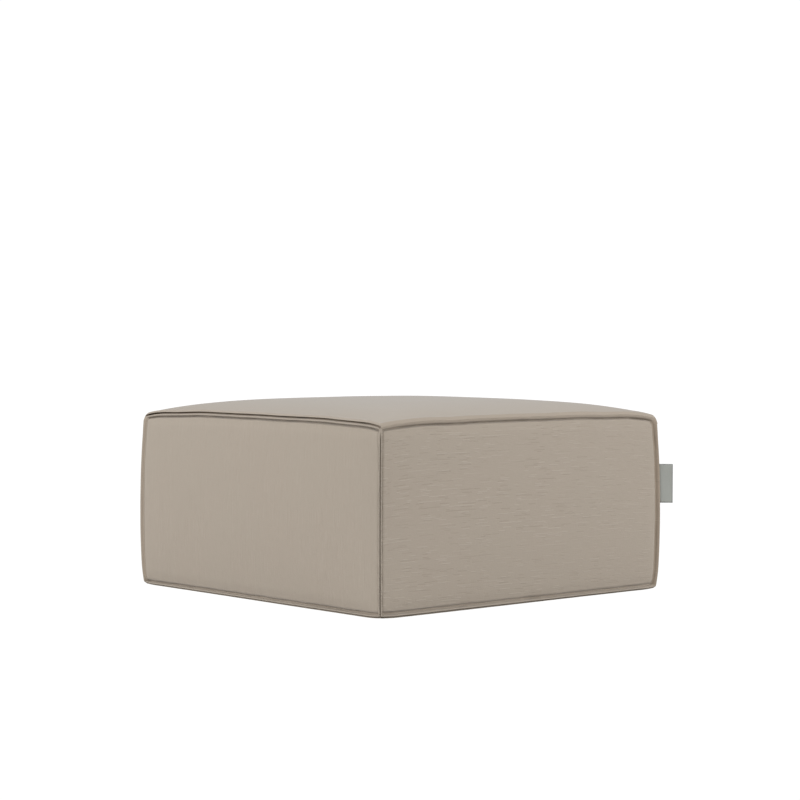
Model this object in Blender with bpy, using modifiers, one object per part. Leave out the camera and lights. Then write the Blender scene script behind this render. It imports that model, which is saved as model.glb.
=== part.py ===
"""Cube pouf stool: a low, square seat block of filled cloth.

Metres, +Z up. The origin is the centre of the base, on the floor, and the sides face X and Y.
A top panel, a base panel and four side panels are sewn edge to edge round a soft fill. Every seam is
a narrow channel at the edge of the block, with a rolled border and a topstitched channel on each side
of it. A small folded label comes out of the upright seam at the +X, -Y corner.
"""

from collections import namedtuple
from math import pi

import bmesh
import bpy
from mathutils import Vector

# The block, from seam to seam
SIDE = 0.80
EDGE_HEIGHT = 0.376  # from the floor to the top seam, at a corner
SEAM_ROLL = 0.014  # how round the cloth turns over the edges of the block

# The fill pushes the panels out between their seams
TOP_SEAM_RISE = 0.0145  # the top seams stand this much higher between the corners than at them
TOP_SEAM_FLATNESS = 6.5
CROWN = 0.0225  # the middle of the top over the top seams
CROWN_FLATNESS = 3.0
UPRIGHT_BOW = 0.0057  # the upright seams at half height
SIDE_BOW = 0.005  # the middle of a side panel, over the upright seams
BOW_FLATNESS = 2.2

# A section across a seam: how far in from the edge, and how far the cloth stands out there
Fold = namedtuple("Fold", "name inset stands_out")
SEAM_SECTION = [
    Fold("seam", 0.000, -0.0035),
    Fold("lip", 0.003, 0.0003),
    Fold("border", 0.0075, 0.0008),
    Fold("topstitch", 0.0125, -0.0016),
    Fold("shoulder", 0.018, 0.0000),
]
PANEL_ROWS = [0.030, 0.055, 0.095]  # more rows of the mesh, where the panel curves most
LARGEST_ROW = 0.080

# The label, a strip folded once
LABEL_HEIGHT = 0.084
LABEL_REACH = 0.031  # out of the mouth of the seam
LABEL_MIDDLE = 0.229  # above the floor
LABEL_CLOTH = 0.001
LABEL_LAYER_GAP = 0.0005
LOOP_STEPS = 6

CLOTH_COLOUR = (0.37, 0.32, 0.265, 1.0)
LABEL_COLOUR = (0.31, 0.33, 0.30, 1.0)

HALF = SIDE / 2


def clear_scene():
    for thing in list(bpy.data.objects):
        bpy.data.objects.remove(thing, do_unlink=True)


def cloth(name, colour, roughness):
    material = bpy.data.materials.new(name)
    material.use_nodes = True
    shader = material.node_tree.nodes["Principled BSDF"]
    shader.inputs["Base Color"].default_value = colour
    shader.inputs["Roughness"].default_value = roughness
    shader.inputs["Metallic"].default_value = 0.0
    return material


def new_object(name, bm, material, collection):
    mesh = bpy.data.meshes.new(name)
    bm.to_mesh(mesh)
    bm.free()
    mesh.materials.append(material)
    thing = bpy.data.objects.new(name, mesh)
    collection.objects.link(thing)
    return thing


def mesh_rows(length):
    """Where the mesh is cut along one edge of the block, as distances from the edge's start."""
    near = [fold.inset for fold in SEAM_SECTION[1:]] + PANEL_ROWS
    first, last = near[-1], length - near[-1]
    count = max(1, round((last - first) / LARGEST_ROW))
    middle = [first + (last - first) * step / count for step in range(1, count)]
    return near + middle + [length - inset for inset in reversed(near)]


def inset_of(point):
    """The distance from a point of the flat-sided block to the nearest edge of its panel."""
    insets = sorted([HALF - abs(point.x), HALF - abs(point.y), min(point.z, EDGE_HEIGHT - point.z)])
    return max(insets[1], 0.0)  # the smallest one is the panel's own plane


def standing_out(inset):
    """How far the cloth stands out from its panel, read from the seam's section."""
    for outer, inner in zip(SEAM_SECTION, SEAM_SECTION[1:]):
        if inset <= inner.inset:
            share = (inset - outer.inset) / (inner.inset - outer.inset)
            return outer.stands_out + share * (inner.stands_out - outer.stands_out)
    return 0.0


def rolled(point):
    """The point on the block with rounded edges, and the way that the cloth faces there."""
    low = Vector((SEAM_ROLL - HALF, SEAM_ROLL - HALF, SEAM_ROLL))
    high = Vector((HALF - SEAM_ROLL, HALF - SEAM_ROLL, EDGE_HEIGHT - SEAM_ROLL))
    core = Vector(min(max(p, a), b) for p, a, b in zip(point, low, high))
    facing = (point - core).normalized()
    return core + facing * SEAM_ROLL, facing


def filled(point):
    """The point after the fill has bowed the sides out and crowned the top."""
    across_x = min(abs(point.x) / HALF, 1.0)
    across_y = min(abs(point.y) / HALF, 1.0)
    up = min(max(point.z / EDGE_HEIGHT, 0.0), 1.0)
    bow = 1 - abs(2 * up - 1) ** BOW_FLATNESS
    x = point.x + point.x / HALF * bow * (UPRIGHT_BOW + SIDE_BOW * (1 - across_y**2))
    y = point.y + point.y / HALF * bow * (UPRIGHT_BOW + SIDE_BOW * (1 - across_x**2))
    rise = TOP_SEAM_RISE * (1 - (across_x * across_y) ** TOP_SEAM_FLATNESS)
    crown = CROWN * (1 - across_x**CROWN_FLATNESS) * (1 - across_y**CROWN_FLATNESS)
    return Vector((x, y, max(point.z + up * (rise + crown), 0.0)))


def pouf_body(collection):
    """The six sewn panels and their fill, as one solid with a flat base."""
    bm = bmesh.new()
    bmesh.ops.create_cube(bm, size=1.0)
    bmesh.ops.scale(bm, vec=(SIDE, SIDE, EDGE_HEIGHT), verts=bm.verts)
    bmesh.ops.translate(bm, vec=(0, 0, EDGE_HEIGHT / 2), verts=bm.verts)
    for axis, start, length in ((0, -HALF, SIDE), (1, -HALF, SIDE), (2, 0.0, EDGE_HEIGHT)):
        across = Vector((axis == 0, axis == 1, axis == 2))
        for row in mesh_rows(length):
            everything = bm.verts[:] + bm.edges[:] + bm.faces[:]
            bmesh.ops.bisect_plane(bm, geom=everything, plane_co=across * (start + row), plane_no=across)
    for vertex in bm.verts:
        stands_out = standing_out(inset_of(vertex.co))
        on_roll, facing = rolled(vertex.co)
        vertex.co = filled(on_roll + facing * stands_out)
    bmesh.ops.recalc_face_normals(bm, faces=bm.faces)
    body = new_object("pouf_body", bm, cloth("cover_cloth", CLOTH_COLOUR, 0.85), collection)
    body.data.shade_smooth()
    return body


def seam_mouth():
    """The point between the lips of the +X, -Y upright seam, at the label's height."""
    lip_fold = SEAM_SECTION[1]
    on_roll, facing = rolled(Vector((HALF, lip_fold.inset - HALF, LABEL_MIDDLE)))
    lip = filled(on_roll + facing * lip_fold.stands_out)
    out = (lip.x - lip.y) / 2
    return Vector((out, -out, LABEL_MIDDLE))


def moved(bm, made, step):
    """Moves what an operator has just made, and gives back its edges."""
    verts = [thing for thing in made if isinstance(thing, bmesh.types.BMVert)]
    bmesh.ops.translate(bm, vec=step, verts=verts)
    return [thing for thing in made if isinstance(thing, bmesh.types.BMEdge)]


def side_label(collection, body):
    """A strip of tape folded once: out from the mouth of the seam, round a tight loop and back."""
    loop_radius = (LABEL_CLOTH + LABEL_LAYER_GAP) / 2
    straight = Vector((LABEL_REACH - loop_radius - LABEL_CLOTH / 2, 0, 0))
    bm = bmesh.new()
    ends = [bm.verts.new((0, -loop_radius, z)) for z in (-LABEL_HEIGHT / 2, LABEL_HEIGHT / 2)]
    cut_end = bm.edges.new(ends)
    fold = moved(bm, bmesh.ops.extrude_edge_only(bm, edges=[cut_end])["geom"], straight)
    loop = bmesh.ops.spin(bm, geom=fold, cent=straight, axis=(0, 0, 1), angle=pi, steps=LOOP_STEPS)
    far_side = [thing for thing in loop["geom_last"] if isinstance(thing, bmesh.types.BMEdge)]
    moved(bm, bmesh.ops.extrude_edge_only(bm, edges=far_side)["geom"], -straight)
    label = new_object("side_label", bm, cloth("label_tape", LABEL_COLOUR, 0.6), collection)
    label.parent = body
    label.location = seam_mouth()
    label.rotation_euler = (0, 0, -pi / 4)
    tape = label.modifiers.new("tape", "SOLIDIFY")
    tape.thickness = LABEL_CLOTH
    tape.offset = 0.0
    return label


def main():
    clear_scene()
    pouf = bpy.data.collections.new("cube pouf stool")
    bpy.context.scene.collection.children.link(pouf)
    body = pouf_body(pouf)
    side_label(pouf, body)


main()
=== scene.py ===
"""Cube pouf stool: a low, square seat block of slub-woven cloth, in a white studio."""
from collections import namedtuple
from math import pi, radians, tan

import bmesh
import bpy
from mathutils import Matrix, Vector, noise
from mathutils.bvhtree import BVHTree
from mathutils.interpolate import poly_3d_calc


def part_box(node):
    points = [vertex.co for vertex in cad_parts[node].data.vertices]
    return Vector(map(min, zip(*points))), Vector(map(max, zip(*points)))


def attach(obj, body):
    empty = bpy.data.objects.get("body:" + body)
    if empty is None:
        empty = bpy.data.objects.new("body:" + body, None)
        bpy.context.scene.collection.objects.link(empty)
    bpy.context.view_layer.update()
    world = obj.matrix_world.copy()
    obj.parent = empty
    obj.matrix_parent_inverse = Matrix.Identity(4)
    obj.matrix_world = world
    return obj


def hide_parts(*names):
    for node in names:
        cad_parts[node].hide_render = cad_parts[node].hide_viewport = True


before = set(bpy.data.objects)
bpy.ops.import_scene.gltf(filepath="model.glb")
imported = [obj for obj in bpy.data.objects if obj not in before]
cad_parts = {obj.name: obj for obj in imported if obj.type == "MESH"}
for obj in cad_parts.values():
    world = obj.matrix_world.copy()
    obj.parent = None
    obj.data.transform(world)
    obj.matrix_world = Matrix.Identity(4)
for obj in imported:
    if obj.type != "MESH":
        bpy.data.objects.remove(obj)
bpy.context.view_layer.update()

# ---------------------------------------------------------------------------------------------------------
# Cover and fill: six panels of cloth, sewn edge to edge round one soft block. The fill crowns the top and
# bows the sides. Each seam lies in a gap between two turned borders, and a row of topstitching draws each
# border down into a channel. One closed padded solid, which stands for the frame's pouf_body.

UPRIGHT_BOW = 0.0055  # how far the upright seams bow out at half height
SIDE_BOW = 0.0026  # the middle of a side panel, over its upright seams
BOW_FLATNESS = 2.2
SPREAD = 0.0012  # each side stands this much further out at the base, and less far out at the top
TOP_SEAM_RISE = 0.0130  # the top seams stand this much higher between the corners than at them
TOP_SEAM_FLATNESS = 6.5
CROWN = 0.0214  # the middle of the top, over the top seams
CROWN_FLATNESS = 4.8
TOP_SWELL = 0.0060  # how much further the fill's pressure moves the middle of the top
SIDE_SWELL = 0.0024  # and, about, the middle of a side panel
TOP_CORNER_PULL = 0.0010  # how far the stitching draws each corner of the block in, along X, Y and Z
BASE_CORNER_PULL = 0.0028
CORNER_REACH = 0.050

body_low, body_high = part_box("pouf_body")
SIDE = body_high.x - body_low.x - 2 * (UPRIGHT_BOW + SIDE_BOW + SIDE_SWELL)
HALF = SIDE / 2
SEAM_HEIGHT = body_high.z - TOP_SEAM_RISE - CROWN - TOP_SWELL  # the top of the block at a corner
SAME_PLACE = 1e-5  # points that are closer than this are one

# How round the cloth turns over the edges of the block: across an upright seam, and both up and across a
# level seam
TIGHT_UPRIGHT_ROLL = 0.008  # at the -X, -Y corner, which is pulled in the tightest
UPRIGHT_ROLL = 0.014
TIGHT_BLEND = 0.30
TOP_ROLL_UP = 0.017
TOP_ROLL_ACROSS = 0.011
TOP_ROLL_BLEND = 0.050
BASE_ROLL_UP = 0.007

# A section across a seam, as distances in from the edge of the block
GAP_FLOOR = 0.0012
GAP_LIP = 0.0027  # the borders are full again here
TOPSTITCH = 0.0095
CHANNEL_FLOOR = 0.0019  # on each side of the topstitching
OPEN_BORDER_TURN = 0.0022  # how wide a border turns down into the channel: beside an open gap
CLOSED_BORDER_TURN = 0.0080  # and where the seam is closed
PANEL_TURN = 0.0050
PANEL_SETTLE = 0.024  # the panel is quite full again this far from the topstitching

# How far the cloth stands out or goes in there
GAP_DEPTH = 0.0140
GAP_SLOPE = 0.1  # how steep the gap of a level seam goes in, beside the way that the seam faces
BORDER_PROUD = 0.0010
CHANNEL_DEPTH = 0.0078
SETTLE_DEPTH = 0.0020

# Rows of the mesh: how close they are in a crease, how fast they widen, and the widest
CREASE_ROW = 0.0005
ROW_GROWTH = 0.20
PANEL_ROW = 0.010

# How tightly the channels turn at the corners of a panel: higher is tighter
SNUG_CORNER_TIGHTNESS = 5.0  # at the top of the -X corners
TOP_CORNER_TIGHTNESS = 2.8  # at the top of the others
BASE_CORNER_TIGHTNESS = 6.0

# For each seam: how open its gap is, from 0 to 1, how wide the borders beside it are, how deep its channel
# is on the panels that face X, Y and Z, where 1 is the usual depth, and its tone: how much painted shade
# its borders get, where the painted shade inside an open gap is 1
Seam = namedtuple("Seam", "gap border on_x on_y on_z tone")
# a tone above 0 is painted shade, for borders that turn away from the light
TIGHT_UPRIGHT_SEAM = Seam(0.22, 0.0061, 0.22, 0.32, 0.0, 0.0)  # at the -X, -Y corner
SNUG_UPRIGHT_SEAM = Seam(0.28, 0.0210, 0.30, 0.55, 0.0, 0.25)  # at the -X, +Y corner
UPRIGHT_SEAM = Seam(0.28, 0.0220, 0.42, 0.52, 0.0, 0.42)
TOP_SEAM_OVER_X = Seam(1.0, 0.0088, 1.25, 0.0, 0.0, 0.0)
TOP_SEAM_OVER_Y = Seam(0.0, 0.0100, 0.0, 1.1, 0.0, 0.15)
BASE_SEAM_UNDER_X = Seam(0.5, 0.0082, 1.0, 0.0, 0.3, 0.0)
BASE_SEAM_UNDER_Y = Seam(0.5, 0.0100, 0.0, 0.82, 0.3, 0.0)
GAP_END = 0.003  # the gaps close towards the corners over this length
UPRIGHT_GAP_END = 0.030  # and the upright ones over this length under a top corner
GAP_SHUT = 0.4  # of that length, next to the corner, along which a gap is quite closed

# How uneven the soft parts are
PUCKER_LENGTH = 0.030
PUCKERS = 0.25  # of a channel's depth
PUCKER_PLACE = Vector((7, 3, 5))  # which part of the noise they follow
STITCH_WANDER = 0.0008
WAVE_LENGTH = 0.130
WAVES = 0.0005
SEAM_WANDER = 0.0023  # how far the top seams rise and fall along their length
WANDER_LENGTH = 0.100
WANDER_PLACE = Vector((25.5, 6.25, 9.1))
WANDER_INSET = 0.8  # the rise and fall dies away over the top, at this share of half its side
WANDER_DROP = 0.7  # and down the side panels, at this share of their height

# The simulation of the fill's pressure on the panels
SWELL_ROW = 0.018
SWELL_PRESSURE = 4.0
SWELL_FRAMES = 20
MOST_SWELL = 0.009  # no point moves further than this


def mesh_rows(length):
    """Where the mesh has its rows along one edge of the block, as distances from the edge's start."""
    near = [0.0]
    step = CREASE_ROW
    while step < PANEL_ROW:
        near.append(near[-1] + step)
        off_channel = abs(abs(near[-1] - TOPSTITCH) - CHANNEL_FLOOR)
        step = CREASE_ROW + ROW_GROWTH * min(near[-1], off_channel)
    count = round((length - 2 * near[-1]) / PANEL_ROW)
    step = (length - 2 * near[-1]) / count
    middle = [near[-1] + step * row for row in range(1, count)]
    return near + middle + [length - inset for inset in reversed(near)]


def even_rows(length):
    """Even rows, for the coarse cloth that the fill presses out."""
    count = round(length / SWELL_ROW)
    return [length * row / count for row in range(count + 1)]


def flat_block(rows_across, rows_up):
    """A box of even rows, which are then moved to where they are asked for."""
    bm = bmesh.new()
    bmesh.ops.create_cube(bm, size=1.0)
    bmesh.ops.translate(bm, vec=(0.5, 0.5, 0.5), verts=bm.verts)
    upright = [edge for edge in bm.edges if edge.verts[0].co.z != edge.verts[1].co.z]
    bmesh.ops.subdivide_edges(bm, edges=upright, cuts=len(rows_up) - 2)
    level = [edge for edge in bm.edges if abs(edge.verts[0].co.z - edge.verts[1].co.z) < SAME_PLACE]
    bmesh.ops.subdivide_edges(bm, edges=level, cuts=len(rows_across) - 2, use_grid_fill=True)
    last_across, last_up = len(rows_across) - 1, len(rows_up) - 1
    for vertex in bm.verts:
        x, y, z = vertex.co
        vertex.co.x = rows_across[round(x * last_across)] - HALF
        vertex.co.y = rows_across[round(y * last_across)] - HALF
        vertex.co.z = rows_up[round(z * last_up)]
    bm.verts.index_update()
    return bm


def eased(value, start, end):
    """From 0 at start to 1 at end, with level ends."""
    share = min(max((value - start) / (end - start), 0.0), 1.0)
    return share * share * (3 - 2 * share)


def pillowed(inset, width):
    """From 0 in a crease to 1 at a width from it, as a full pad comes up out of its stitching."""
    share = min(max(inset / width, 0.0), 1.0)
    return (share * (2 - share)) ** 0.5


def upright_seam(x, y):
    """The upright seam at one corner of the block."""
    if x > 0:
        return UPRIGHT_SEAM
    return SNUG_UPRIGHT_SEAM if y > 0 else TIGHT_UPRIGHT_SEAM


def level_seam(panel, at_top):
    """The seam along the top or the base of a side panel. Panel 0 faces X, and panel 1 faces Y."""
    if at_top:
        return TOP_SEAM_OVER_Y if panel else TOP_SEAM_OVER_X
    return BASE_SEAM_UNDER_Y if panel else BASE_SEAM_UNDER_X


def corner_tightness(upright, at_top):
    """How tightly the channels turn at the top or at the base of an upright seam."""
    if not at_top:
        return BASE_CORNER_TIGHTNESS
    return TOP_CORNER_TIGHTNESS if upright is UPRIGHT_SEAM else SNUG_CORNER_TIGHTNESS


def even_inset(distance, border):
    """The distance from a seam, measured so that its topstitching is always the same distance in."""
    return distance * TOPSTITCH / border if distance < border else distance - border + TOPSTITCH


def near_seams(point):
    """The round-cornered distance from a point of the flat block to its panel's seams, with their gap,
    channel and tone (the painted shade of their borders) there, and the nearest point of a seam."""
    to_plane = (HALF - abs(point.x), HALF - abs(point.y), min(point.z, SEAM_HEIGHT - point.z))
    panel = to_plane.index(min(to_plane))
    at_top = point.z > SEAM_HEIGHT / 2
    upright = upright_seam(point.x, point.y)
    level_x, level_y = level_seam(0, at_top), level_seam(1, at_top)
    seams = {0: {1: upright, 2: level_x}, 1: {0: upright, 2: level_y}, 2: {0: level_x, 1: level_y}}[panel]
    tightness = corner_tightness(upright, at_top)
    pulls = gap = channel = tone = 0.0
    for across, seam in seams.items():
        pull = max(even_inset(to_plane[across], seam.border), SAME_PLACE) ** -tightness
        to_corner = to_plane[3 - panel - across]
        gap_end = UPRIGHT_GAP_END if at_top and seam is upright else GAP_END
        pulls += pull
        gap += pull * seam.gap * eased(to_corner, GAP_SHUT * gap_end, gap_end)
        channel += pull * (seam.on_x, seam.on_y, seam.on_z)[panel]
        # tone: the painted shade of the borders
        tone += pull * seam.tone
    nearest = min(seams, key=lambda across: to_plane[across])
    on_seam = point.copy()
    if nearest == 2:
        on_seam.z = SEAM_HEIGHT if at_top else 0.0
    else:
        on_seam[nearest] = HALF if point[nearest] > 0 else -HALF
    return pulls ** (-1 / tightness), gap / pulls, channel / pulls, tone / pulls, on_seam


def section(inset, gap, channel):
    """How far the cloth stands out there, and how far it is drawn into the seam's gap."""
    border_turn = OPEN_BORDER_TURN * gap + CLOSED_BORDER_TURN * (1 - gap)
    off_floor = abs(inset - TOPSTITCH) - CHANNEL_FLOOR
    full = pillowed(off_floor, border_turn if inset < TOPSTITCH else PANEL_TURN)
    settled = eased(abs(inset - TOPSTITCH), 0, PANEL_SETTLE)
    border = BORDER_PROUD * (1 - eased(inset, TOPSTITCH, TOPSTITCH + PANEL_TURN))
    out_of_gap = pillowed(inset - GAP_FLOOR, GAP_LIP - GAP_FLOOR)
    stands_out = border - channel * (CHANNEL_DEPTH * (1 - full) + SETTLE_DEPTH * (1 - settled))
    return stands_out, GAP_DEPTH * gap * (1 - out_of_gap)


def rolled(point):
    """The point on the block with round edges, and the way that the cloth faces there."""
    at_top = point.z > SEAM_HEIGHT / 2
    topmost = eased(point.z, SEAM_HEIGHT - TOP_ROLL_BLEND, SEAM_HEIGHT - 0.5 * TOP_ROLL_UP)
    looser = eased(max(point.x, point.y), -TIGHT_BLEND, TIGHT_BLEND)
    upright = TIGHT_UPRIGHT_ROLL + (UPRIGHT_ROLL - TIGHT_UPRIGHT_ROLL) * looser
    across = upright + (TOP_ROLL_ACROSS - upright) * topmost
    roll = Vector((across, across, TOP_ROLL_UP if at_top else BASE_ROLL_UP))
    low = (across - HALF, across - HALF, BASE_ROLL_UP)
    high = (HALF - across, HALF - across, SEAM_HEIGHT - TOP_ROLL_UP)
    core = Vector(min(max(p, a), b) for p, a, b in zip(point, low, high))
    out = Vector(tan(pi / 4 * (p - c) / r) for p, c, r in zip(point, core, roll)).normalized()
    facing = Vector(o / r for o, r in zip(out, roll)).normalized()
    return core + out * roll, facing


def filled(point):
    """The point after the fill has bowed the sides out and crowned the top."""
    across_x = min(abs(point.x) / HALF, 1.0)
    across_y = min(abs(point.y) / HALF, 1.0)
    up = min(max(point.z / SEAM_HEIGHT, 0.0), 1.0)
    bow = 1 - abs(2 * up - 1) ** BOW_FLATNESS
    spread = SPREAD * (1 - 2 * up)
    rise = TOP_SEAM_RISE * (1 - (across_x * across_y) ** TOP_SEAM_FLATNESS)
    crown = CROWN * (1 - across_x**CROWN_FLATNESS) * (1 - across_y**CROWN_FLATNESS)
    pull = TOP_CORNER_PULL if up > 0.5 else BASE_CORNER_PULL
    for to_plane in (HALF - abs(point.x), HALF - abs(point.y), min(point.z, SEAM_HEIGHT - point.z)):
        pull *= min(max(1 - to_plane / CORNER_REACH, 0), 1) ** 2
    x = point.x * (1 + (bow * (UPRIGHT_BOW + SIDE_BOW * (1 - across_y**2)) + spread - pull) / HALF)
    y = point.y * (1 + (bow * (UPRIGHT_BOW + SIDE_BOW * (1 - across_x**2)) + spread - pull) / HALF)
    z = point.z + up * (rise + crown) + (pull if up < 0.5 else -pull)
    by_top_seam = eased(max(across_x, across_y), WANDER_INSET, 1) * eased(up, WANDER_DROP, 1)
    along_seam = Vector((point.x, point.y, 0)) / WANDER_LENGTH
    z += SEAM_WANDER * by_top_seam * noise.noise(along_seam + WANDER_PLACE)
    return Vector((x, y, max(z, 0.0)))


def cloth_under_pressure(bm, held):
    """Where each vertex goes when the fill presses on the cloth, which is held at some vertices."""
    mesh = bpy.data.meshes.new("coarse_cover")
    bm.to_mesh(mesh)
    coarse = bpy.data.objects.new("coarse_cover", mesh)
    bpy.context.scene.collection.objects.link(coarse)
    coarse.vertex_groups.new(name="held").add(held, 1.0, "REPLACE")
    cloth = coarse.modifiers.new("fill", "CLOTH")
    cloth.settings.vertex_group_mass = "held"
    cloth.settings.use_pressure = True
    cloth.settings.uniform_pressure_force = SWELL_PRESSURE
    cloth.settings.effector_weights.gravity = 0.0
    cloth.point_cache.frame_end = SWELL_FRAMES
    for moment in range(1, SWELL_FRAMES + 1):
        bpy.context.scene.frame_set(moment)
    pressed = coarse.evaluated_get(bpy.context.evaluated_depsgraph_get()).data
    places = [vertex.co.copy() for vertex in pressed.vertices]
    bpy.data.objects.remove(coarse)
    bpy.data.meshes.remove(mesh)
    bpy.context.scene.frame_set(1)
    return places


def swelling():
    """The points and faces of a coarse flat block, and how far the fill moves each point. The cloth is held
    at the seams and at the base, which rests on the floor."""
    bm = flat_block(even_rows(SIDE), even_rows(SEAM_HEIGHT))
    flat = [vertex.co.copy() for vertex in bm.verts]
    faces = [[vertex.index for vertex in face.verts] for face in bm.faces]
    held = []
    for index, point in enumerate(flat):
        to_planes = sorted((HALF - abs(point.x), HALF - abs(point.y), SEAM_HEIGHT - point.z, point.z))
        if to_planes[1] < SAME_PLACE or point.z < SAME_PLACE:
            held.append(index)
    for vertex in bm.verts:
        vertex.co = filled(rolled(vertex.co)[0])
    before = [vertex.co.copy() for vertex in bm.verts]
    moves = [after - start for after, start in zip(cloth_under_pressure(bm, held), before)]
    bm.free()
    middle = max(range(len(flat)), key=lambda index: flat[index].z - abs(flat[index].x) - abs(flat[index].y))
    share = TOP_SWELL / moves[middle].z
    for move in moves:
        move *= share
        move *= min(1, MOST_SWELL / max(move.length, SAME_PLACE))
    return flat, faces, moves


swell_points, swell_faces, swell_moves = swelling()
swell_tree = BVHTree.FromPolygons(swell_points, swell_faces)


def swollen(point):
    """How far the fill moves a point of the flat block."""
    place, _, face, _ = swell_tree.find_nearest(point)
    corners = swell_faces[face]
    shares = poly_3d_calc([swell_points[corner] for corner in corners], place)
    return sum((swell_moves[corner] * share for corner, share in zip(corners, shares)), Vector())


def on_cover(point):
    """Where a point of the flat block lies on the finished cover."""
    inset, gap, channel, _, on_seam = near_seams(point)
    wander = STITCH_WANDER * eased(inset, 0, TOPSTITCH) * noise.noise(point / PUCKER_LENGTH)
    inset = max(inset + wander, 0)
    channel *= 1 + PUCKERS * noise.noise(point / PUCKER_LENGTH + PUCKER_PLACE)
    stands_out, drawn_in = section(inset, gap, channel)
    on_roll, facing = rolled(point)
    wave = WAVES * noise.noise(point / WAVE_LENGTH) * eased(inset, TOPSTITCH, WAVE_LENGTH)
    placed = on_roll + facing * (stands_out + wave)
    if drawn_in:
        into_gap = rolled(on_seam)[1]
        into_gap.z *= GAP_SLOPE
        placed -= into_gap.normalized() * drawn_in
    return filled(placed) + swollen(point)


PANEL_APART = 3.0  # in metres on the weave's map, so that no two panels share their slubs
SLUBS_AT_END = 0.5  # how strongly they show at the +X end of the panels that face Y, where 1 is in full
SLUBS_ON_X = 0.38  # and on the panels that face X
SLUBS_ON_Z = 0.12  # and Z


def lay_weave(bm):
    """A UV map in metres for each panel, with U along the slubs, and how strongly the panel shows them:
    they are plain to see on the panels that face Y, where they lie level, and faint on the others."""
    weave = bm.loops.layers.uv.new("weave")
    showing = bm.verts.layers.float.new("slubs_showing")
    for face in bm.faces:
        facing = face.normal
        for loop in face.loops:
            x, y, z = loop.vert.co
            if abs(facing.y) > 0.5:
                loop[weave].uv = (x + PANEL_APART * facing.y, z)
                loop.vert[showing] = 1 - (1 - SLUBS_AT_END) * eased(x, 0, HALF)
            elif abs(facing.x) > 0.5:
                loop[weave].uv = (z + 2 * PANEL_APART * facing.x, y)
                loop.vert[showing] = SLUBS_ON_X
            else:
                loop[weave].uv = (x + 3 * PANEL_APART * facing.z, y)
                loop.vert[showing] = SLUBS_ON_Z


CHANNEL_SHADE = 0.17  # how much of the painted shade inside a gap a channel gets


def paint_crease_shade(bm):
    """How much painted shade the cloth's colour gets at each vertex of the flat block: 1 down in a gap, and
    less in a channel and on the borders whose seams give them a tone of painted shade."""
    # painted shade: darker where shade falls in the gaps, the channels and some borders
    crease = bm.verts.layers.float.new("crease")
    for vertex in bm.verts:
        inset, gap, channel, tone, _ = near_seams(vertex.co)
        stands_out, drawn_in = section(inset, gap, channel)
        in_channel = max(-stands_out / (CHANNEL_DEPTH + SETTLE_DEPTH), 0)
        border_shade = tone * (1 - eased(inset, TOPSTITCH - CHANNEL_FLOOR, TOPSTITCH + CHANNEL_FLOOR))
        vertex[crease] = min(drawn_in / GAP_DEPTH + CHANNEL_SHADE * in_channel + border_shade, 1)


def new_material(name, values):
    """A material with these values on its shader's own sockets, and its nodes, links and shader."""
    material = bpy.data.materials.new(name)
    material.use_nodes = True
    nodes = material.node_tree.nodes
    shader = nodes["Principled BSDF"]
    for socket, value in values.items():
        shader.inputs[socket].default_value = value
    return material, nodes, material.node_tree.links, shader


def add_bump(material, height, strength, distance):
    """Puts a bump on a material's shader."""
    nodes, links = material.node_tree.nodes, material.node_tree.links
    bump = nodes.new("ShaderNodeBump")
    bump.inputs["Strength"].default_value = strength
    bump.inputs["Distance"].default_value = distance
    links.new(height, bump.inputs["Height"])
    links.new(bump.outputs["Normal"], nodes["Principled BSDF"].inputs["Normal"])


YARN = (0.349, 0.300, 0.248, 1)
PALE_YARN = (0.361, 0.310, 0.256, 1)
THICK_SLUB = (0.385, 0.333, 0.279, 1)
THIN_SLUB = (0.329, 0.281, 0.230, 1)
PATCH = (0.352, 0.308, 0.254, 1)
# painted shade: the dark, warm colour of the cloth down in its gaps and channels
CREASE_SHADE = (0.205, 0.145, 0.090, 1)
SLUB_PITCH = 0.0030
SLUB_DRIFT = 0.004  # how far the rows of slubs drift off a straight line
SLUB_SCALE = 19  # of the noise along a row, for each metre
SLUB_EDGE = 0.35  # of the pitch: how much of it the side of a row's round top takes up
ROW_APART = 7.3  # so far apart in the noise that one row of slubs tells nothing of the next


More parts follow.
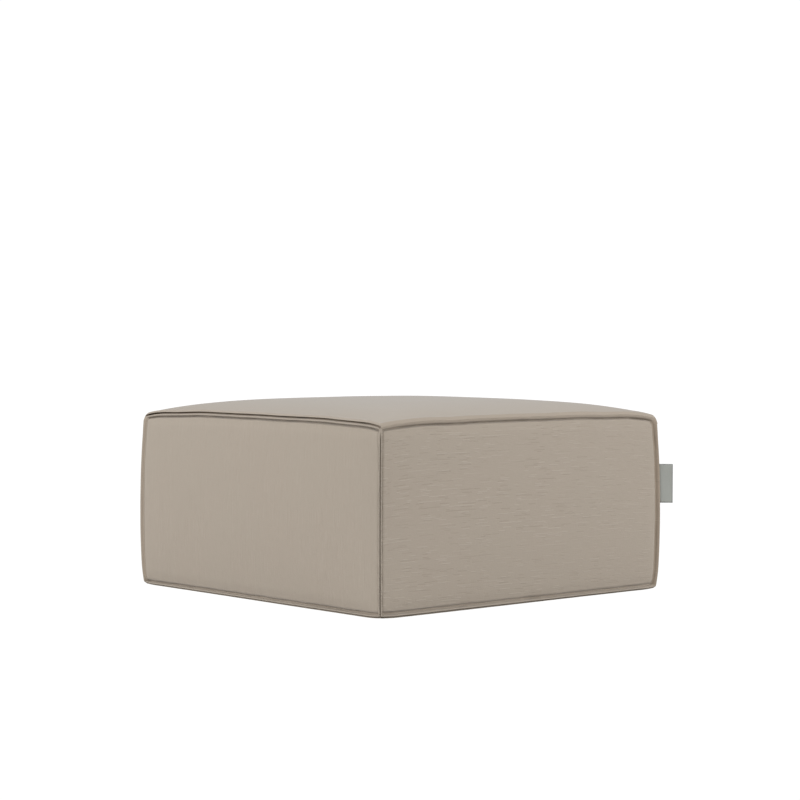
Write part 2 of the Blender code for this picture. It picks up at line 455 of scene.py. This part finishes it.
def cover_cloth():
    """Slub weave: fine uneven threads, thicker light and dark slubs along U, painted shade, darker and
    warmer, where the cloth goes into its seams and on some borders, a soft woven bump and sheen."""
    material, nodes, links, shader = new_material("cover_cloth", {
        "Roughness": 0.92, "Specular IOR Level": 0.15, "Sheen Weight": 0.2, "Sheen Roughness": 0.5,
        "Sheen Tint": (0.50, 0.58, 0.66, 1.0)})
    weave = nodes.new("ShaderNodeUVMap")
    weave.uv_map = "weave"

    def threads(name, along, across, detail, place=None):
        """Noise drawn out along the threads: its scale along them and across them, for each metre."""
        stretch = nodes.new("ShaderNodeMapping")
        stretch.inputs["Scale"].default_value = (along, across, 1)
        links.new(weave.outputs["UV"] if place is None else place, stretch.inputs["Vector"])
        made = nodes.new("ShaderNodeTexNoise")
        made.name = name
        made.noise_dimensions = "2D"
        made.inputs["Scale"].default_value = 1.0
        made.inputs["Detail"].default_value = detail
        links.new(stretch.outputs["Vector"], made.inputs["Vector"])
        return made.outputs["Fac"]

    def ranged(value, low, high, to_low=0.0, to_high=1.0):
        """The value eased from one range into another."""
        made = nodes.new("ShaderNodeMapRange")
        made.interpolation_type = "SMOOTHSTEP"
        made.inputs["From Min"].default_value = low
        made.inputs["From Max"].default_value = high
        made.inputs["To Min"].default_value = to_low
        made.inputs["To Max"].default_value = to_high
        links.new(value, made.inputs["Value"])
        return made.outputs["Result"]

    def mixed(share, first, second):
        """The first colour, with a share of the second."""
        made = nodes.new("ShaderNodeMix")
        made.data_type = "RGBA"
        links.new(share, made.inputs["Factor"])
        for socket, colour in ((made.inputs["A"], first), (made.inputs["B"], second)):
            if isinstance(colour, tuple):
                socket.default_value = colour
            else:
                links.new(colour, socket)
        return made.outputs["Result"]

    def worked(operation, *values):
        """A sum on plain numbers and on what other nodes give."""
        made = nodes.new("ShaderNodeMath")
        made.operation = operation
        for socket, value in zip(made.inputs, values):
            if isinstance(value, float):
                socket.default_value = value
            else:
                links.new(value, socket)
        return made.outputs["Value"]

    def slub_rows():
        """Straight rows of threads, each as thick as its own noise along it, and their round tops."""
        split = nodes.new("ShaderNodeSeparateXYZ")
        links.new(weave.outputs["UV"], split.inputs["Vector"])
        drift = threads("drift", along=2, across=9, detail=1)
        drifted = worked("MULTIPLY_ADD", drift, SLUB_DRIFT, split.outputs["Y"])
        place = nodes.new("ShaderNodeCombineXYZ")
        links.new(split.outputs["X"], place.inputs["X"])
        links.new(worked("SNAP", drifted, SLUB_PITCH), place.inputs["Y"])
        thickness = threads("slubs", SLUB_SCALE, ROW_APART / SLUB_PITCH, 1, place.outputs["Vector"])
        across_row = worked("PINGPONG", drifted, SLUB_PITCH / 2)
        return thickness, ranged(across_row, 0, SLUB_EDGE * SLUB_PITCH)

    weft = threads("weft", along=60, across=900, detail=2)
    warp = threads("warp", along=1100, across=80, detail=2)
    slubs, round_top = slub_rows()
    bunches = threads("bunches", along=6, across=14, detail=2)
    patches = threads("patches", along=5, across=7, detail=3)
    showing = nodes.new("ShaderNodeAttribute")
    showing.attribute_name = "slubs_showing"
    # how much painted shade the cloth gets in its creases and on some borders
    crease = nodes.new("ShaderNodeAttribute")
    crease.attribute_name = "crease"
    bunched = worked("MULTIPLY", ranged(bunches, 0.32, 0.52, to_low=0.3), showing.outputs["Fac"])
    on_top = worked("MULTIPLY", bunched, round_top)
    thick = worked("MULTIPLY", ranged(slubs, 0.62, 0.67), on_top)
    thin = worked("MULTIPLY", ranged(slubs, 0.38, 0.33), on_top)
    yarn = mixed(ranged(weft, 0.3, 0.7), YARN, PALE_YARN)
    light = mixed(thick, yarn, THICK_SLUB)
    dark = mixed(thin, light, THIN_SLUB)
    toned = mixed(ranged(patches, 0.35, 0.65, to_high=0.3), dark, PATCH)
    # painted shade in the gaps, the channels and some borders
    crease_shaded = mixed(crease.outputs["Fac"], toned, CREASE_SHADE)
    links.new(crease_shaded, shader.inputs["Base Color"])
    woven = worked("ADD", ranged(weft, 0.2, 0.8, to_high=0.4), ranged(warp, 0.2, 0.8, to_high=0.3))
    shown = worked("MULTIPLY", woven, ranged(showing.outputs["Fac"], 0.1, 0.5, to_low=0.12))
    height = worked("ADD", shown, worked("SUBTRACT", thick, thin))
    add_bump(material, height, strength=0.6, distance=0.0004)
    return material


def new_piece(name, bm, material):
    """A piece with its place in its mesh, and of one material."""
    mesh = bpy.data.meshes.new(name)
    bm.to_mesh(mesh)
    bm.free()
    mesh.shade_smooth()
    mesh.materials.append(material)
    piece = bpy.data.objects.new(name, mesh)
    bpy.context.scene.collection.objects.link(piece)
    return piece


bm = flat_block(mesh_rows(SIDE), mesh_rows(SEAM_HEIGHT))
bm.normal_update()
lay_weave(bm)
paint_crease_shade(bm)
for vertex in bm.verts:
    vertex.co = on_cover(vertex.co)
bmesh.ops.recalc_face_normals(bm, faces=bm.faces)
cover = new_piece("cover", bm, cover_cloth())
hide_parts("pouf_body")
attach(cover, "root")

# ---------------------------------------------------------------------------------------------------------
# Topstitching: one row of thread round each side panel, at the bottom of its channel. The thread is the
# cloth's own colour, and each stitch is a short bead of it with both ends sunk in the cloth. One joined
# piece.

STITCH_PITCH = 0.0052
STITCH_LENGTH = 0.0042
STITCH_WIDTH = 0.0011
STITCH_HEIGHT = 0.0009
STITCH_RAISED = 0.0001  # the middle of a stitch over the bottom of the channel
LINE_STEP = 0.0010
THREAD = (0.345, 0.298, 0.246, 1)
PALE_THREAD = (0.395, 0.344, 0.287, 1)


def channel_inset(seam, crossing, to_corner, tightness):
    """How far in from a seam its channel runs, until it turns the corner into a crossing seam's channel."""
    reach = even_inset(to_corner, crossing.border) / TOPSTITCH
    if reach < 2 ** (1 / tightness):
        return None
    return seam.border + TOPSTITCH * ((1 - reach ** -tightness) ** (-1 / tightness) - 1)


def channel_line(panel, side):
    """Points round the bottom of one side panel's channel on the finished cover, and how the cloth faces."""
    across = 1 - panel
    uprights = {way: upright_seam(*((side, way) if panel == 0 else (way, side))) for way in (-1, 1)}
    line = []

    def pass_through(level, up):
        flat = Vector((0, 0, up))
        flat[panel], flat[across] = side * HALF, level
        line.append((on_cover(flat), rolled(flat)[1]))

    levels = [step * LINE_STEP - HALF for step in range(1, int(SIDE / LINE_STEP))]
    heights = [step * LINE_STEP for step in range(1, int(SEAM_HEIGHT / LINE_STEP))]

    def along_level(at_top, levels):
        for level in levels:
            upright = uprights[1 if level > 0 else -1]
            tightness = corner_tightness(upright, at_top)
            inset = channel_inset(level_seam(panel, at_top), upright, HALF - abs(level), tightness)
            if inset:
                pass_through(level, SEAM_HEIGHT - inset if at_top else inset)

    def along_upright(way, heights):
        for up in heights:
            at_top = up > SEAM_HEIGHT / 2
            level = level_seam(panel, at_top)
            tightness = corner_tightness(uprights[way], at_top)
            inset = channel_inset(uprights[way], level, min(up, SEAM_HEIGHT - up), tightness)
            if inset:
                pass_through(way * (HALF - inset), up)

    along_level(False, levels)
    along_upright(1, heights)
    along_level(True, reversed(levels))
    along_upright(-1, reversed(heights))
    return line


def one_stitch():
    """A bead of thread, which lies along Z and whose top faces Y."""
    bm = bmesh.new()
    size = Matrix.Diagonal((STITCH_WIDTH, STITCH_HEIGHT, STITCH_LENGTH, 1))
    bmesh.ops.create_uvsphere(bm, u_segments=6, v_segments=4, radius=0.5, matrix=size)
    mesh = bpy.data.meshes.new("stitch")
    bm.to_mesh(mesh)
    bm.free()
    return mesh


def sew(bm, line, stitch):
    """Lays stitches of one pitch along a closed line."""
    since_last = 0.0
    for before, here, after in zip(line, line[1:], line[2:] + line[:1]):
        since_last += (here[0] - before[0]).length
        if since_last < STITCH_PITCH:
            continue
        since_last -= STITCH_PITCH
        along = (after[0] - before[0]).normalized()
        out = (here[1] - here[1].project(along)).normalized()
        turn = Matrix((out.cross(along), out, along)).transposed().to_4x4()
        laid = stitch.copy()
        laid.transform(Matrix.Translation(here[0] + out * STITCH_RAISED) @ turn)
        bm.from_mesh(laid)
        bpy.data.meshes.remove(laid)


def sewing_thread():
    """Matt thread in the cloth's colour, a little lighter, with its twist as a fine bump."""
    material, nodes, links, shader = new_material("sewing_thread", {
        "Roughness": 0.7, "Specular IOR Level": 0.3})
    place = nodes.new("ShaderNodeTexCoord")
    twist = nodes.new("ShaderNodeTexNoise")
    twist.inputs["Scale"].default_value = 2500.0
    links.new(place.outputs["Object"], twist.inputs["Vector"])
    tone = nodes.new("ShaderNodeMix")
    tone.data_type = "RGBA"
    tone.inputs["A"].default_value = THREAD
    tone.inputs["B"].default_value = PALE_THREAD
    links.new(twist.outputs["Fac"], tone.inputs["Factor"])
    links.new(tone.outputs["Result"], shader.inputs["Base Color"])
    add_bump(material, twist.outputs["Fac"], strength=0.4, distance=0.0001)
    return material


bm = bmesh.new()
stitch = one_stitch()
for panel, side in ((0, -1), (0, 1), (1, -1), (1, 1)):
    sew(bm, channel_line(panel, side), stitch)
bpy.data.meshes.remove(stitch)
topstitching = new_piece("topstitching", bm, sewing_thread())
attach(topstitching, "root")

# ---------------------------------------------------------------------------------------------------------
# Side label: a strip of grey satin tape, folded once, with its two ends caught in the upright seam at the
# +X, -Y corner. It is bare. One sheet, which stands for the frame's side_label.

label_low, label_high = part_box("side_label")
LABEL_HEIGHT = label_high.z - label_low.z
LABEL_MIDDLE = (label_low.z + label_high.z) / 2
LABEL_REACH = 0.031  # out of the mouth of the seam
LABEL_ROOT = 0.004  # inside the seam
TAPE = 0.0006
LAYER_GAP = 0.0007
LOOP_STEPS = 10
LABEL_ROWS_UP = 28
LABEL_ROWS_OUT = 11
SWAY = 0.0010  # how far the free end of the label sways out of its plane
SWAY_LENGTH = 0.045
DARKER_RIM = 0.0026  # the darker rim along the top, the bottom and the fold
SATIN = (0.436, 0.453, 0.421, 1)
PALE_SATIN = (0.474, 0.491, 0.457, 1)
RIM_SATIN = (0.262, 0.272, 0.260, 1)
RIBS_ALONG = 250  # scales of the noise that makes the ribs, for each metre: along them
RIBS_ACROSS = 2600  # and across them


def label_tape():
    """Satin tape: fine ribs across it, a soft gloss, and a darker rim."""
    material, nodes, links, shader = new_material("label_tape", {
        "Roughness": 0.48, "Specular IOR Level": 0.4, "Sheen Weight": 0.15})
    tape = nodes.new("ShaderNodeUVMap")
    tape.uv_map = "tape"
    split = nodes.new("ShaderNodeSeparateXYZ")
    links.new(tape.outputs["UV"], split.inputs["Vector"])
    from_middle = nodes.new("ShaderNodeMath")
    from_middle.operation = "ABSOLUTE"
    links.new(split.outputs["Y"], from_middle.inputs[0])

    def rim(distance, edge):
        """1 within half a rim of the edge, and 0 on the tape inside the rim."""
        made = nodes.new("ShaderNodeMapRange")
        made.interpolation_type = "SMOOTHSTEP"
        made.inputs["From Min"].default_value = edge - DARKER_RIM
        made.inputs["From Max"].default_value = edge - 0.5 * DARKER_RIM
        links.new(distance, made.inputs["Value"])
        return made.outputs["Result"]

    either = nodes.new("ShaderNodeMath")
    either.operation = "MAXIMUM"
    links.new(rim(from_middle.outputs["Value"], LABEL_HEIGHT / 2), either.inputs[0])
    links.new(rim(split.outputs["X"], LABEL_ROOT + LABEL_REACH), either.inputs[1])
    ribs = nodes.new("ShaderNodeTexNoise")
    ribs.noise_dimensions = "2D"
    ribs.inputs["Scale"].default_value = 1.0
    stretch = nodes.new("ShaderNodeMapping")
    stretch.inputs["Scale"].default_value = (RIBS_ALONG, RIBS_ACROSS, 1)
    links.new(tape.outputs["UV"], stretch.inputs["Vector"])
    links.new(stretch.outputs["Vector"], ribs.inputs["Vector"])
    satin = nodes.new("ShaderNodeMix")
    satin.data_type = "RGBA"
    satin.inputs["A"].default_value = SATIN
    satin.inputs["B"].default_value = PALE_SATIN
    links.new(ribs.outputs["Fac"], satin.inputs["Factor"])
    rimmed = nodes.new("ShaderNodeMix")
    rimmed.data_type = "RGBA"
    rimmed.inputs["B"].default_value = RIM_SATIN
    links.new(either.outputs["Value"], rimmed.inputs["Factor"])
    links.new(satin.outputs["Result"], rimmed.inputs["A"])
    links.new(rimmed.outputs["Result"], shader.inputs["Base Color"])
    add_bump(material, ribs.outputs["Fac"], strength=0.3, distance=0.0001)
    return material


def moved(bm, made, step):
    """Moves what an operator has just made, and gives back its edges."""
    verts = [thing for thing in made if isinstance(thing, bmesh.types.BMVert)]
    bmesh.ops.translate(bm, vec=step, verts=verts)
    return [thing for thing in made if isinstance(thing, bmesh.types.BMEdge)]


loop_radius = (TAPE + LAYER_GAP) / 2
straight = Vector((LABEL_REACH + LABEL_ROOT - loop_radius - TAPE / 2, 0, 0))
bm = bmesh.new()
ends = [bm.verts.new((0, -loop_radius, z)) for z in (-LABEL_HEIGHT / 2, LABEL_HEIGHT / 2)]
cut_end = bm.edges.new(ends)
fold = moved(bm, bmesh.ops.extrude_edge_only(bm, edges=[cut_end])["geom"], straight)
loop = bmesh.ops.spin(bm, geom=fold, cent=straight, axis=(0, 0, 1), angle=pi, steps=LOOP_STEPS)
far_side = [thing for thing in loop["geom_last"] if isinstance(thing, bmesh.types.BMEdge)]
moved(bm, bmesh.ops.extrude_edge_only(bm, edges=far_side)["geom"], -straight)
for length, rows in ((LABEL_HEIGHT, LABEL_ROWS_UP), (straight.x, LABEL_ROWS_OUT)):
    long_edges = [edge for edge in bm.edges if abs(edge.calc_length() - length) < SAME_PLACE]
    bmesh.ops.subdivide_edges(bm, edges=long_edges, cuts=rows, use_grid_fill=True)
tape_map = bm.loops.layers.uv.new("tape")
for face in bm.faces:
    for corner in face.loops:
        corner[tape_map].uv = (corner.vert.co.x, corner.vert.co.z)
for vertex in bm.verts:
    out = max(vertex.co.x - LABEL_ROOT, 0) / LABEL_REACH
    vertex.co.y += SWAY * out * noise.noise(Vector((vertex.co.x, 0, vertex.co.z)) / SWAY_LENGTH)
lip = on_cover(Vector((HALF, GAP_LIP - HALF, LABEL_MIDDLE)))
mouth = (lip.x - lip.y) / 2
root = Vector((mouth, -mouth, LABEL_MIDDLE)) - Vector((1, -1, 0)).normalized() * LABEL_ROOT
into_place = Matrix.Translation(root) @ Matrix.Rotation(-pi / 4, 4, "Z")
bmesh.ops.transform(bm, matrix=into_place, verts=bm.verts)
bmesh.ops.recalc_face_normals(bm, faces=bm.faces)
label = new_piece("label", bm, label_tape())
tape = label.modifiers.new("tape", "SOLIDIFY")
tape.thickness = TAPE
tape.offset = 0.0
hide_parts("side_label")
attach(label, "root")

# ---------------------------------------------------------------------------------------------------------
# Studio: a white floor and backdrop, soft light from the left, the right front and above, and a camera at
# the photograph's angle. The floor and the backdrop are white for the camera alone, and a grey card under
# the pouf sends light back up.

CAMERA_PLACE = (-3.1445, -3.5593, 0.5482)
CAMERA_AZIMUTH = -41.489
CAMERA_TILT = 1.702  # below the horizon
CAMERA_ROLL = -0.12
LENS_SHARE = 2181.4 / 800  # focal length over the picture's width
SOFTBOX_AIM = Vector((0, 0, 0.2))

camera_data = bpy.data.cameras.new("camera")
camera_data.sensor_width = 36.0
camera_data.lens = camera_data.sensor_width * LENS_SHARE
camera_data.clip_end = 100
camera = bpy.data.objects.new("camera", camera_data)
camera.location = CAMERA_PLACE
camera.rotation_euler = (radians(90 - CAMERA_TILT), radians(CAMERA_ROLL), radians(CAMERA_AZIMUTH))
bpy.context.scene.collection.objects.link(camera)
bpy.context.scene.camera = camera


def stage_piece(name, bm, material):
    """A piece of the studio, which is no part of the pouf."""
    piece = new_piece(name, bm, material)
    return piece


def level_sheet(size, height):
    """A square sheet, level and in the middle."""
    bm = bmesh.new()
    bmesh.ops.create_grid(bm, x_segments=1, y_segments=1, size=size / 2)
    bmesh.ops.translate(bm, vec=(0, 0, height), verts=bm.verts)
    return bm


def seen_by_camera_alone(piece):
    """Keeps a piece out of the lighting, and out of reflections."""
    for ray in ("diffuse", "glossy", "transmission", "volume_scatter", "shadow"):
        setattr(piece, "visible_" + ray, False)


white_paper = new_material("white_paper", {
    "Base Color": (0, 0, 0, 1), "Specular IOR Level": 0.0, "Emission Color": (1, 1, 1, 1),
    "Emission Strength": 1.05})[0]
seen_by_camera_alone(stage_piece("floor", level_sheet(size=60, height=-0.0005), white_paper))
dome = bmesh.new()
bmesh.ops.create_uvsphere(dome, u_segments=48, v_segments=24, radius=25)
seen_by_camera_alone(stage_piece("backdrop", dome, white_paper))

grey_card = new_material("bounce_card", {"Base Color": (0.5, 0.5, 0.5, 1), "Roughness": 0.9})[0]
stage_piece("bounce_card", level_sheet(size=8, height=-0.001), grey_card).visible_camera = False

world = bpy.data.worlds.new("studio")
bpy.context.scene.world = world
world.use_nodes = True
background = world.node_tree.nodes["Background"]
background.inputs["Color"].default_value = (1, 1, 1, 1)
background.inputs["Strength"].default_value = 0.08


def softbox(name, place, size, watts):
    """A square soft light that faces the pouf."""
    data = bpy.data.lights.new(name, "AREA")
    data.shape = "SQUARE"
    data.size = size
    data.energy = watts
    lamp = bpy.data.objects.new(name, data)
    lamp.location = place
    lamp.rotation_euler = (SOFTBOX_AIM - Vector(place)).to_track_quat("-Z", "Y").to_euler()
    bpy.context.scene.collection.objects.link(lamp)


softbox("top_softbox", (0.0, 0.0, 9.0), size=6.0, watts=480)
softbox("left_softbox", (-9.0, -1.5, 3.2), size=5.0, watts=270)
softbox("right_front_softbox", (5.0, -7.5, 3.2), size=5.0, watts=790)
softbox("left_back_softbox", (-7.5, 5.0, 3.2), size=5.0, watts=615)

bpy.context.scene.view_settings.view_transform = "Standard"
bpy.context.scene.view_settings.look = "None"
